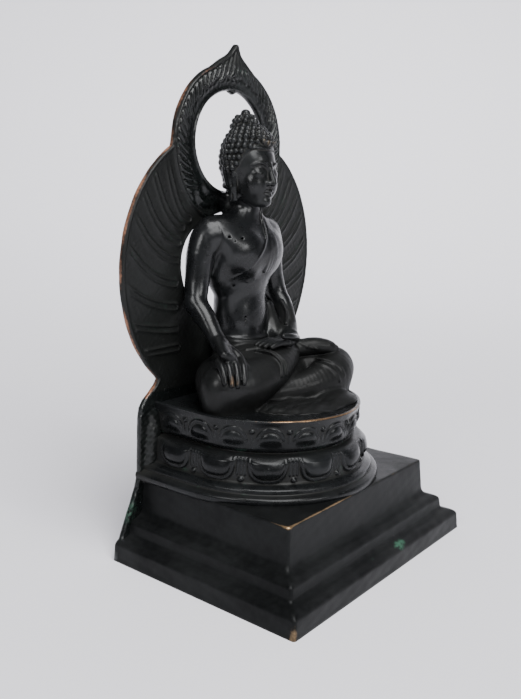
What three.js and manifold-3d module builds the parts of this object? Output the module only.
// A small cast bronze: a seated Buddha before a pierced mandorla, on a lotus throne and a stepped plinth.
// Millimetres, +Z up, the figure faces -Y. The origin is the middle of the footprint, on the underside.
import * as THREE from 'three';
import { mergeVertices } from 'three/addons/utils/BufferGeometryUtils.js';
import Module from 'manifold-3d';

const wasm = await Module();
wasm.setup();

const DEG = Math.PI / 180;
const { sin, cos, abs, min, max } = Math;
const v3 = (x, y, z) => new THREE.Vector3(x, y, z);
const smooth = (t) => t * t * (3 - 2 * t);

// Overall sizes
const HEIGHT = 205;
const WIDTH = 130;
const DEPTH = 90;
const BACK = DEPTH / 2;
const BACK_TAPER = 2.4;
// How far the plinth and the throne stay behind the plate's back face, which closes them
const SUNK = 0.5;

// Mandorla plate
const PLATE_THICKNESS = 2.3;
const PLATE_FRONT = BACK - PLATE_THICKNESS;
const LOBE = { x: 12, z: 115, rx: 49.3, rz: 54 };
const HALO = { z: 164, rx: 34.6, rz: 33.2, flareHalfWidth: 12, flareHeight: 7.2 };
const HALO_HOLE = { z: 165.9, rx: 21.9, rz: 20.2 };
const BODY_HOLE = { z: 117.5, rx: 28.5, rzUpper: 19.6, rzLower: 26 };
const SKIRT = { notchX: 41, notchZ: 71, halfWidth: 51 };
const TIP_BEND = { above: 190, over: 15, shift: 2.2 };

// Stepped plinth: height of each arris and how far it stands in from the footprint
const STEPS = [
  { z: 0, inset: 0 },
  { z: 7.6, inset: 1.2 },
  { z: 8.3, inset: 2.2 },
  { z: 9.4, inset: 5.9 },
  { z: 10.2, inset: 6.4 },
  { z: 14.6, inset: 7.2 },
  { z: 15.4, inset: 8.4 },
  { z: 16.6, inset: 12.2 },
  { z: 18, inset: 13.1 },
  { z: 32.1, inset: 14.3 },
];
const PLINTH_TOP = STEPS.at(-1).z;

// Lotus throne: a half round front about an upright axis, with straight flanks back to the plate.
// The profile is the radius of the front at each height.
const THRONE_X = -1.8;
const THRONE_Y = 18.8;
const SEAT_Z = 61.4;
const THRONE_PROFILE = [
  [48.4, 31], [48.9, 33.3], [47, 34.9], [46.4, 37.4], [43.4, 39.2], [42.4, 41], [42, 44.6], [40.4, 47.2],
  [36.4, 48.4], [36.6, 50.2], [38.9, 55.5], [40.4, 60], [40.8, 61.9], [39, 61.9], [38.2, SEAT_Z],
];
const THRONE_SIDES = 16;
const LOWER_PETALS = {
  left: 4, right: 3, turn: 27.4, phase: 5,
  radius: 41.6, z: 43.8, halfWidth: 9.2, halfHeight: 4.9, proud: 2.6, lean: 8,
};
const UPPER_PETALS = {
  left: 5, right: 5, turn: 21, phase: -6.6,
  radius: 37.2, z: 55.6, halfWidth: 6.9, halfHeight: 5.2, proud: 2.4, lean: -20,
};

// Solids

// A closed geometry becomes a solid once its vertices are shared and its slivers dropped.
function solid(geometry) {
  const bare = geometry.clone();
  bare.deleteAttribute('normal');
  if (bare.hasAttribute('uv')) bare.deleteAttribute('uv');
  const shared = mergeVertices(bare, 1e-4);
  const p = shared.getAttribute('position').array;
  const index = shared.index.array;
  const kept = [];
  let volume = 0;
  for (let i = 0; i < index.length; i += 3) {
    const [a, b, c] = [index[i], index[i + 1], index[i + 2]];
    if (a === b || b === c || c === a) continue;
    kept.push(a, b, c);
    const [A, B, C] = [a, b, c].map((k) => v3(p[3 * k], p[3 * k + 1], p[3 * k + 2]));
    volume += A.dot(B.cross(C));
  }
  if (volume < 0) kept.reverse();
  const mesh = new wasm.Mesh({
    numProp: 3,
    vertProperties: new Float32Array(p),
    triVerts: new Uint32Array(kept),
  });
  return new wasm.Manifold(mesh);
}

// A skin through equal rings of points. Open lofts are closed by a fan at each end, round ones meet.
function loft(rings, round = false) {
  const n = rings[0].length;
  const points = rings.flat();
  const faces = [];
  const last = round ? rings.length : rings.length - 1;
  for (let r = 0; r < last; r += 1) {
    const s = (r + 1) % rings.length;
    for (let k = 0; k < n; k += 1) {
      const m = (k + 1) % n;
      faces.push(r * n + k, s * n + k, s * n + m, r * n + k, s * n + m, r * n + m);
    }
  }
  if (!round) {
    for (const r of [0, rings.length - 1]) {
      const middle = rings[r].reduce((sum, p) => sum.add(p), v3(0, 0, 0)).divideScalar(n);
      points.push(middle);
      for (let k = 0; k < n; k += 1) {
        const pair = r === 0 ? [r * n + k, r * n + ((k + 1) % n)] : [r * n + ((k + 1) % n), r * n + k];
        faces.push(points.length - 1, ...pair);
      }
    }
  }
  const geometry = new THREE.BufferGeometry().setFromPoints(points);
  geometry.setIndex(faces);
  return solid(geometry);
}

const join = (list) => list.reduce((whole, piece) => whole.add(piece));

function ellipsoid(centre, radii, turn = [0, 0, 0], around = 8, up = 6) {
  const geometry = new THREE.SphereGeometry(1, around, up);
  geometry.scale(...radii);
  const matrix = new THREE.Matrix4().makeRotationFromEuler(new THREE.Euler(...turn.map((a) => a * DEG)));
  geometry.applyMatrix4(matrix);
  geometry.translate(centre.x, centre.y, centre.z);
  return solid(geometry);
}

// A limb: elliptical sections along a smooth path through stations. It starts flat and ends round.
// A station is a place, half the width across the path and half the depth along the reference direction.
function limb(stations, sides = 8, steps = 5, reference = v3(0, 0, 1)) {
  const path = new THREE.CatmullRomCurve3(stations.map((s) => s.at));
  const girth = new THREE.CatmullRomCurve3(stations.map((s) => v3(s.wide, s.deep ?? s.wide, 0)));
  const rings = [];
  const ring = (t, shrink, advance) => {
    const at = path.getPoint(t);
    const along = path.getTangent(t);
    const across = along.clone().cross(reference).normalize();
    const out = across.clone().cross(along).normalize();
    const g = girth.getPoint(t);
    at.addScaledVector(along, advance * min(g.x, g.y));
    const points = [];
    for (let k = 0; k < sides; k += 1) {
      const a = (k / sides) * 2 * Math.PI;
      const [x, y] = [g.x * shrink * cos(a), g.y * shrink * sin(a)];
      points.push(at.clone().addScaledVector(across, x).addScaledVector(out, y));
    }
    rings.push(points);
  };
  for (let i = 0; i <= steps; i += 1) ring(i / steps, 1, 0);
  ring(1, 0.6, 0.8);
  return loft(rings);
}

// Plinth

function plinth() {
  const rings = STEPS.map(({ z, inset }) => {
    const x = WIDTH / 2 - inset;
    const front = -DEPTH / 2 + inset;
    const back = x - BACK_TAPER;
    return [v3(-x, front, z), v3(x, front, z), v3(back, BACK - SUNK, z), v3(-back, BACK - SUNK, z)];
  });
  return loft(rings);
}

// Throne

// A leaf laid on the throne: round the front it turns about the axis, on the flank it moves back instead
function petal({ radius, z, halfWidth, halfHeight, proud, lean }, angle) {
  const geometry = new THREE.SphereGeometry(1, 6, 4);
  geometry.scale(halfWidth, proud, halfHeight);
  geometry.rotateX(lean * DEG);
  geometry.translate(0, -radius, z);
  const turn = min(90, max(-90, angle)) * DEG;
  const past = abs(angle * DEG) - abs(turn);
  geometry.rotateZ(turn);
  geometry.translate(THRONE_X, THRONE_Y + past * radius, 0);
  return solid(geometry);
}

function petals(row) {
  const leaves = [];
  for (let k = -row.left; k <= row.right; k += 1) leaves.push(petal(row, row.phase + row.turn * k));
  return leaves;
}

function throne() {
  const rings = THRONE_PROFILE.map(([radius, z]) => {
    const ring = [];
    for (let k = 0; k <= THRONE_SIDES; k += 1) {
      const a = (k / THRONE_SIDES) * Math.PI;
      ring.push(v3(THRONE_X - radius * cos(a), THRONE_Y - radius * sin(a), z));
    }
    return [...ring, v3(THRONE_X + radius, BACK - SUNK, z), v3(THRONE_X - radius, BACK - SUNK, z)];
  });
  return join([loft(rings), ...petals(LOWER_PETALS), ...petals(UPPER_PETALS)]);
}

// Rough metal left in the corner between the throne's back and the plate
function cornerFill(side) {
  const outline = [[49.6, 44], [48.6, 40.6], [44, 38.4], [40, 36], [40, 44]];
  const shape = new THREE.Shape(outline.map(([x, y]) => new THREE.Vector2(side * x, y)));
  const geometry = new THREE.ExtrudeGeometry(shape, { depth: 25, bevelEnabled: false });
  geometry.translate(0, 0, PLINTH_TOP - 1);
  return solid(geometry);
}

// Mandorla

// Half width of the plate's outline as a path from the tip down to the foot, on the +X side
function plateHalfOutline() {
  const points = [[0, HEIGHT], [1.6, 203], [4.4, 200.2], [8, 198.1]];
  for (let a = 68; a >= 3; a -= 8.1) {
    points.push([HALO.rx * cos(a * DEG), HALO.z + HALO.rz * sin(a * DEG)]);
  }
  for (let a = 62; a >= -54; a -= 8) {
    points.push([LOBE.x + LOBE.rx * cos(a * DEG), LOBE.z + LOBE.rz * sin(a * DEG)]);
  }
  points.push([SKIRT.notchX, SKIRT.notchZ], [43.4, 67.4], [48.4, 63.4], [50.6, 60.2]);
  const foot = WIDTH / 2 - BACK_TAPER;
  points.push([SKIRT.halfWidth, 56], [SKIRT.halfWidth, PLINTH_TOP], [foot, 4], [foot, 0]);
  return points;
}

// The tip of the halo is bent towards +X
function bent([x, z]) {
  const t = max(0, (z - TIP_BEND.above) / TIP_BEND.over);
  return [x + TIP_BEND.shift * t * t, z];
}

function plateShape() {
  const half = plateHalfOutline();
  const whole = [...half, ...half.slice(1).reverse().map(([x, z]) => [-x, z])].map(bent);
  const shape = new THREE.Shape(whole.map(([x, z]) => new THREE.Vector2(x, z)));
  const halo = new THREE.Path();
  halo.absellipse(0, HALO_HOLE.z, HALO_HOLE.rx, HALO_HOLE.rz, 0, 2 * Math.PI);
  const body = new THREE.Path();
  body.absellipse(0, BODY_HOLE.z, BODY_HOLE.rx, BODY_HOLE.rzUpper, 0, Math.PI);
  body.absellipse(0, BODY_HOLE.z, BODY_HOLE.rx, BODY_HOLE.rzLower, Math.PI, 2 * Math.PI);
  shape.holes.push(halo, body);
  return shape;
}

function plate() {
  const settings = { depth: PLATE_THICKNESS, bevelEnabled: false, curveSegments: 9 };
  const geometry = new THREE.ExtrudeGeometry(plateShape(), settings);
  geometry.rotateX(Math.PI / 2);
  geometry.translate(0, BACK, 0);
  return solid(geometry);
}

// Carved relief between two lines of the plate: every second column of the grid is a ridge, the next
// a groove. inner(u) and outer(u) are [x, z] points; rise(u, v, ridge) is how far it stands out.
function relief(inner, outer, rise, columns, rows, sweep, round) {
  const rings = [];
  const count = round ? columns : columns + 1;
  for (let i = 0; i < count; i += 1) {
    const ring = [];
    for (let j = 0; j <= rows; j += 1) {
      const v = j / rows;
      const u = i / columns + sweep(i / columns, v);
      const [a, b] = [inner(u), outer(u)];
      const x = a[0] + (b[0] - a[0]) * v;
      const z = a[1] + (b[1] - a[1]) * v;
      ring.push(v3(x, PLATE_FRONT - rise(u, v, i % 2), z));
    }
    const flat = [ring[rows], ring[0]].map((p) => v3(p.x, PLATE_FRONT + 1.2, p.z));
    rings.push([...ring, ...flat]);
  }
  return loft(rings, round);
}

// The oval halo: a smooth inner border, then slanted flame flutes up to a raised edge
function haloRelief() {
  const onEllipse = (rx, rz, z0, u) => [rx * sin(2 * Math.PI * u), z0 + rz * cos(2 * Math.PI * u)];
  const inner = (u) => onEllipse(HALO_HOLE.rx + 0.5, HALO_HOLE.rz + 0.5, HALO_HOLE.z, u);
  const outer = (u) => {
    const [x, z] = onEllipse(HALO.rx - 0.6, HALO.rz - 0.8, HALO.z, u);
    const peak = max(0, 1 - abs(x) / HALO.flareHalfWidth);
    return bent([x, z + (z > HALO.z ? HALO.flareHeight * peak * peak : 0)]);
  };
  const rise = (u, v, ridge) => {
    if (v < 0.1) return 0.9;
    return v > 0.95 ? 0.6 : 0.25 + 1.05 * ridge;
  };
  return relief(inner, outer, rise, 44, 3, (u, v) => -0.018 * v, true);
}

// One lobe of the body nimbus: long curved flutes sweeping outward from the opening
function lobeRelief(side) {
  const [low, high] = [-50, 61];
  const outer = (u) => {
    const a = (low + (high - low) * min(1, max(0, u))) * DEG;
    return [side * (LOBE.x + (LOBE.rx - 0.7) * cos(a)), LOBE.z + (LOBE.rz - 0.7) * sin(a)];
  };
  const inner = (u) => {
    const a = (-75 + 128 * min(1, max(0, u))) * DEG;
    const rz = a > 0 ? BODY_HOLE.rzUpper : BODY_HOLE.rzLower;
    return [side * ((BODY_HOLE.rx + 0.8) * cos(a)), BODY_HOLE.z + (rz + 0.8) * sin(a)];
  };
  const rise = (u, v, ridge) => {
    if (v < 0.08 || v > 0.93) return 0.9;
    return 0.2 + 1.05 * ridge;
  };
  return relief(inner, outer, rise, 24, 3, (u, v) => 0.07 * v * v * (1 - u), false);
}

// Figure

// Torso sections: height, how far back the middle lies, half width and half depth
const TORSO = [
  [64, 31.4, 17.4, 11], [74, 31.8, 16.4, 10.6], [82, 32.4, 14.2, 10], [91, 33, 12.8, 9.6],
  [103, 33, 13.4, 9.2], [112, 32.6, 15.2, 9.6], [119, 32.2, 17.2, 10], [125, 32.6, 18, 9.6],
  [130, 34, 17.6, 8.6], [133.4, 34.8, 14.4, 7.8], [136, 35, 10, 7.4], [139, 34.8, 7.2, 6.9],
  [143, 34, 6.4, 6.4], [148, 33.2, 6.4, 6.4],
];

function torsoAt(z) {
  let k = 1;
  while (k < TORSO.length - 1 && TORSO[k][0] < z) k += 1;
  const [a, b] = [TORSO[k - 1], TORSO[k]];
  const t = smooth(min(1, max(0, (z - a[0]) / (b[0] - a[0]))));
  return a.map((value, i) => value + (b[i] - value) * t);
}

// A point on the torso's skin: angle 0 is the middle of the chest, positive towards +X
function onTorso(angle, z, proud = 0) {
  const [, y, a, b] = torsoAt(z);
  return v3((a + proud) * sin(angle * DEG), y - (b + proud) * cos(angle * DEG), z);
}

function torso() {
  const rings = TORSO.map(([z, y, a, b]) => {
    const ring = [];
    for (let k = 0; k < 14; k += 1) {
      const t = (k / 14) * 2 * Math.PI;
      ring.push(v3(a * cos(t), y + b * sin(t), z));
    }
    return ring;
  });
  const chest = [-1, 1].map((s) => ellipsoid(v3(s * 8.4, 25.6, 120.6), [8.4, 4.2, 6.6], [0, 0, s * 14], 8, 4));
  return join([loft(rings), ...chest]);
}

// The band that carries the upper back into the plate, between the two openings
function backBand() {
  const geometry = new THREE.BoxGeometry(15, 7, 6.5);
  geometry.translate(0, BACK - 4.4, 141.2);
  return solid(geometry);
}

const RIGHT_ARM = [
  { at: v3(-11, 35.4, 131), wide: 5.6 },
  { at: v3(-17.6, 36.4, 129.6), wide: 6.4 },
  { at: v3(-21.6, 37, 122), wide: 6 },
  { at: v3(-24, 36.6, 111), wide: 5.1 },
  { at: v3(-26.6, 35.2, 101.6), wide: 4.6 },
];
const LEFT_ARM = [
  { at: v3(11, 35.4, 131), wide: 5.6 },
  { at: v3(17.2, 36.4, 129), wide: 6.2 },
  { at: v3(21.4, 36.6, 121), wide: 5.8 },
  { at: v3(23.4, 36, 111), wide: 5 },
  { at: v3(25, 34.2, 101.6), wide: 4.6 },
];
const RIGHT_FOREARM = [
  { at: v3(-26.6, 35.4, 101.8), wide: 4.6 },
  { at: v3(-26.8, 29.8, 96.2), wide: 4.4 },
  { at: v3(-28.6, 24, 90.4), wide: 3.7, deep: 3.1 },
  { at: v3(-30, 19.2, 86.2), wide: 5, deep: 2.8 },
];
const LEFT_FOREARM = [
  { at: v3(25, 34.4, 101.8), wide: 4.6 },
  { at: v3(24.4, 29.4, 95.6), wide: 4.4 },
  { at: v3(19.6, 22.6, 89.4), wide: 3.6, deep: 3 },
  { at: v3(13, 17.4, 86), wide: 4.4, deep: 2.5 },
];
const HAND_ROW = v3(0.88, -0.47, 0);

function arms() {
  const back = v3(0, 1, 0);
  const upper = [RIGHT_ARM, LEFT_ARM].map((stations) => limb(stations, 8, 5, back));
  const lower = [RIGHT_FOREARM, LEFT_FOREARM].map((stations) => limb(stations, 7, 4));
  return join([...upper, ...lower]);
}

// Right hand laid over the shin, fingers pointing down; left hand lies palm up in the lap
function hands() {
  const pieces = [];
  pieces.push(ellipsoid(v3(-31, 16.4, 83.6), [6.4, 6.2, 2.6], [30, 0, -28]));
  for (let k = 0; k < 4; k += 1) {
    const across = k - 1.5;
    const reach = [0, 1.4, 1.8, 0.8][k];
    pieces.push(limb([
      { at: v3(-31.2, 14.4, 82.2).addScaledVector(HAND_ROW, 3.3 * across), wide: 1.8 },
      { at: v3(-33.8, 10, 79.2).addScaledVector(HAND_ROW, 3 * across), wide: 1.65 },
      { at: v3(-35.4, 7.4, 75.4 - reach).addScaledVector(HAND_ROW, 2.6 * across), wide: 1.2 },
    ], 4, 2));
  }
  pieces.push(limb([
    { at: v3(-26.4, 17.4, 84), wide: 1.9 },
    { at: v3(-23.6, 13.6, 81.6), wide: 1.7 },
    { at: v3(-22.8, 10.6, 79.4), wide: 1.2 },
  ], 4, 2));
  pieces.push(ellipsoid(v3(5, 14.6, 84.2), [7.4, 5, 2.4], [0, 0, -12]));
  for (let k = 0; k < 4; k += 1) {
    const y = 17.6 - 2.2 * k;
    pieces.push(limb([
      { at: v3(1.6, y, 84.8), wide: 1.35 },
      { at: v3(-3.4, y + 0.4, 84.6), wide: 1.25 },
      { at: v3(-7.6 + abs(k - 1.5), y + 1, 84), wide: 1 },
    ], 4, 2));
  }
  pieces.push(limb([
    { at: v3(8, 11, 85.2), wide: 1.6 },
    { at: v3(3, 10.6, 86.8), wide: 1.4 },
    { at: v3(-1, 12, 87.2), wide: 1.1 },
  ], 4, 2));
  return join(pieces);
}

// The right leg lies on top, its foot sole up on the left thigh
const RIGHT_LEG = [
  { at: v3(-10, 31, 71), wide: 10, deep: 9.6 },
  { at: v3(-23, 26, 71), wide: 9.6, deep: 9.6 },
  { at: v3(-33.6, 17.4, 70.6), wide: 8.4, deep: 9.2 },
];
const RIGHT_SHIN = [
  { at: v3(-38.4, 19.4, 70.4), wide: 3.6, deep: 4.6 },
  { at: v3(-33.6, 16.6, 70.6), wide: 8.2, deep: 9.2 },
  { at: v3(-22, 11.4, 71.6), wide: 8.2, deep: 9 },
  { at: v3(-8, 10.6, 75), wide: 7, deep: 7.2 },
  { at: v3(5, 12.8, 78.2), wide: 5.2, deep: 5 },
  { at: v3(14.6, 15.2, 80), wide: 4.4, deep: 3.6 },
  { at: v3(21.6, 10.6, 80.6), wide: 4.6, deep: 2.8 },
  { at: v3(26.6, 5.8, 80.2), wide: 4.8, deep: 2 },
];
const LEFT_LEG = [
  { at: v3(10, 31, 71), wide: 10, deep: 9.6 },
  { at: v3(21.6, 18, 71), wide: 9.6, deep: 9.4 },
  { at: v3(29.6, 6.4, 70.4), wide: 8.8, deep: 9.2 },
];
const LEFT_SHIN = [
  { at: v3(35.2, 6.6, 70.2), wide: 3.6, deep: 4.6 },
  { at: v3(29.8, 5.2, 70.2), wide: 8.4, deep: 9.2 },
  { at: v3(17, 2.8, 68.2), wide: 7.4, deep: 7.8 },
  { at: v3(5, 6.2, 66.4), wide: 6.2, deep: 6.2 },
  { at: v3(-10, 12.6, 65.4), wide: 4.8, deep: 4.6 },
];

function legs() {
  const thighs = [RIGHT_LEG, LEFT_LEG].map((stations) => limb(stations, 8, 3));
  const shins = [RIGHT_SHIN, LEFT_SHIN].map((stations) => limb(stations, 8, stations.length - 1));
  const lap = ellipsoid(v3(0, 24, 70), [26, 17, 9.8], [0, 0, 0], 8, 4);
  const toes = [];
  for (let k = 0; k < 5; k += 1) {
    const at = v3(25.4 + 1.25 * k, 1.6 + 1.3 * k, 80.6 - 0.1 * k);
    toes.push(ellipsoid(at, [2, 1.2, 1.3], [0, 0, -45], 4, 2));
  }
  return join([...thighs, ...shins, lap, ...toes]);
}

// Head

const SKULL = { y: 32.2, z: 156.6, rx: 11.3, ry: 11.4, rz: 12.8 };
const HAIR = { columns: 24, rows: 7, curl: 1.2, frontEdge: 64, backEdge: 124 };

function face() {
  const sections = [
    [139.9, 25, 3.2, 2.8], [142.2, 27.4, 6.4, 6], [146, 29.6, 9, 9.2], [150.5, 31, 10.3, 10.8],
    [156, 32, 10.8, 11.6], [161, 32.3, 10.3, 11.1], [164.4, 32.5, 8.2, 8.8],
  ];
  const rings = sections.map(([z, y, a, b]) => {
    const ring = [];
    for (let k = 0; k < 14; k += 1) {
      const t = (k / 14) * 2 * Math.PI;
      ring.push(v3(a * cos(t), y + b * sin(t), z));
    }
    return ring;
  });
  const nose = limb([
    { at: v3(0, 20.9, 156.4), wide: 1 },
    { at: v3(0, 19.6, 151.6), wide: 1.3 },
    { at: v3(0, 19.4, 149.3), wide: 1.9, deep: 1.3 },
  ], 6, 2, v3(0, 1, 0));
  const lips = ellipsoid(v3(0, 21, 145.6), [3, 1.3, 1.1], [0, 0, 0], 8, 4);
  const chin = ellipsoid(v3(0, 23.4, 142), [3.4, 2.8, 2.2], [0, 0, 0], 8, 4);
  const lids = [-1, 1].map((s) => ellipsoid(v3(s * 4.5, 22, 154.8), [2.6, 1.4, 1.2], [0, 0, s * 16], 8, 4));
  const brows = [-1, 1].map((s) => limb([
    { at: v3(s * 1.2, 20.9, 157.2), wide: 0.6 },
    { at: v3(s * 4.6, 21.2, 158.6), wide: 0.6 },
    { at: v3(s * 8, 24, 157.4), wide: 0.5 },
  ], 4, 3));
  const ears = [-1, 1].map((s) => limb([
    { at: v3(s * 11, 33, 158.2), wide: 2.6, deep: 1.4 },
    { at: v3(s * 11.6, 32.6, 152), wide: 2.4, deep: 1.2 },
    { at: v3(s * 10.6, 31.4, 145), wide: 1.8, deep: 1.1 },
    { at: v3(s * 10, 30.8, 141.4), wide: 1.7, deep: 1.2 },
  ], 5, 3, v3(s, 0, 0)));
  return join([loft(rings), nose, lips, chin, ...lids, ...brows, ...ears]);
}

// Hair: rings that run down from the crown, with every second point raised into a curl
function hair() {
  const rings = [];
  for (let r = 1; r <= HAIR.rows; r += 1) {
    const ring = [];
    for (let k = 0; k < HAIR.columns; k += 1) {
      const a = (k / HAIR.columns) * 2 * Math.PI;
      const behind = (1 - cos(a)) / 2;
      const edge = (HAIR.frontEdge + (HAIR.backEdge - HAIR.frontEdge) * smooth(behind)) * DEG;
      const polar = edge * (0.12 + (0.88 * r) / HAIR.rows);
      const proud = 0.4 + ((r + k) % 2 === 0 ? HAIR.curl : 0);
      const x = (SKULL.rx + proud) * sin(polar) * sin(a);
      const y = SKULL.y - (SKULL.ry + proud) * sin(polar) * cos(a);
      const z = SKULL.z + (SKULL.rz + proud) * cos(polar);
      ring.push(v3(x, y, z));
    }
    rings.push(ring);
  }
  return loft(rings);
}

// The crown of hair: a mound in two tiers of curls below a small knob
function crown() {
  const tiers = [[166.6, 7.6], [169, 7.8], [171, 6.8], [172.8, 5.6], [174.6, 4.9], [176.2, 3.4]];
  const columns = 12;
  const rings = tiers.map(([z, radius], r) => {
    const ring = [];
    for (let k = 0; k < columns; k += 1) {
      const a = (k / columns) * 2 * Math.PI;
      const curl = (r + k) % 2 === 0 ? 0.7 : 0;
      ring.push(v3((radius + curl) * cos(a), 33.6 + (radius + curl) * sin(a), z));
    }
    return ring;
  });
  return loft(rings).add(ellipsoid(v3(0, 33.8, 176.4), [2.2, 2.2, 2.3], [0, 0, 0], 8, 6));
}

// Dress

const FAN = { x: 3, y: 10, reach: 21, halfAngle: 62, columns: 16 };

// A raised line or band laid over the torso through places given as [angle, height, rise off the skin]
function bandOnTorso(places, wide, deep, steps) {
  const stations = places.map(([angle, z, rise = 0]) => ({ at: onTorso(angle, z, rise), wide, deep }));
  return limb(stations, 4, steps, v3(0, -1, 0));
}

function dress() {
  const border = [[28, 138], [13, 132.7], [-10, 124, 1.6], [-27, 116.9, 2], [-54, 112], [-96, 109]];
  const edge = bandOnTorso(border, 0.9, 1.1, 6);
  const sash = limb([
    { at: v3(13, 40, 131), wide: 4.2, deep: 1.2 },
    { at: v3(14, 33, 136.4), wide: 4.2, deep: 1.2 },
    { at: v3(8, 25.4, 132.6), wide: 4, deep: 1.2 },
    { at: v3(3, 21.6, 124), wide: 3.2, deep: 1.1 },
    { at: v3(1.6, 21.8, 114), wide: 2.8, deep: 1 },
  ], 5, 5, v3(0, -1, 0.2));
  const belt = bandOnTorso([[-80, 86], [-40, 85], [0, 84.6], [40, 85], [80, 86]], 1, 1.2, 4);
  const folds = [];
  for (let k = 0; k < 2; k += 1) {
    folds.push(limb([
      { at: v3(-14 + 4 * k, 15 - 2 * k, 80.4 - 0.6 * k), wide: 0.8 },
      { at: v3(-3 + 3 * k, 9.4 - 1.6 * k, 81.2 - k), wide: 0.9 },
      { at: v3(8 + k, 10.2 - 1.4 * k, 83 - k), wide: 0.8 },
    ], 4, 3));
  }
  const hems = [];
  for (let k = 0; k < 2; k += 1) {
    hems.push(limb([
      { at: v3(17 + 2.4 * k, 6.4 - 0.6 * k, 77.6), wide: 0.8 },
      { at: v3(17.6 + 2.6 * k, -0.6 - 0.8 * k, 74.6), wide: 0.8 },
      { at: v3(16.6 + 2.6 * k, -5.2 - 0.6 * k, 68.8), wide: 0.8 },
    ], 4, 3));
  }
  return join([edge, sash, belt, ...folds, ...hems]);
}

// The robe's hem spread over the seat as a fan of ripples
function seatFan() {
  const rings = [];
  for (let k = 0; k <= FAN.columns; k += 1) {
    const a = (-FAN.halfAngle + (2 * FAN.halfAngle * k) / FAN.columns) * DEG;
    const ripple = k % 2 === 0 ? 1.4 : 0.5;
    const place = (radius, z) => v3(FAN.x + radius * sin(a), FAN.y - radius * cos(a), z);
    const reach = FAN.reach + (k % 4 === 0 ? 1.2 : 0);
    rings.push([
      place(8, SEAT_Z - 0.6), place(8, SEAT_Z + 1.6 + ripple), place(0.7 * reach, SEAT_Z + 0.7 + ripple),
      place(reach, SEAT_Z + 0.25 + 0.5 * ripple), place(reach + 0.6, SEAT_Z - 0.6),
    ]);
  }
  return loft(rings);
}

// A drip of metal left at the top of the halo's opening
function drip() {
  const at = v3(1.6, BACK - PLATE_THICKNESS / 2, HALO_HOLE.z + HALO_HOLE.rz);
  return ellipsoid(at, [0.9, 0.8, 1.1], [0, 0, 0], 6, 4);
}

const statue = join([
  plinth(), throne(), cornerFill(-1), cornerFill(1),
  plate(), haloRelief(), lobeRelief(-1), lobeRelief(1), drip(),
  torso(), backBand(), arms(), hands(), legs(), face(), hair(), crown(), dress(), seatFan(),
]);

function named(name, body, colour) {
  const { vertProperties, triVerts, numProp } = body.getMesh();
  const points = [];
  for (let i = 0; i < vertProperties.length; i += numProp) {
    points.push(v3(vertProperties[i], vertProperties[i + 1], vertProperties[i + 2]));
  }
  const geometry = new THREE.BufferGeometry().setFromPoints(points);
  geometry.setIndex([...triVerts]);
  const material = new THREE.MeshStandardMaterial({ color: colour, roughness: 0.42, metalness: 0.85 });
  const mesh = new THREE.Mesh(geometry, material);
  mesh.name = name;
  return mesh;
}

const part = new THREE.Group();
part.add(named('buddha_statue', statue, 0x23221f));

export default part;
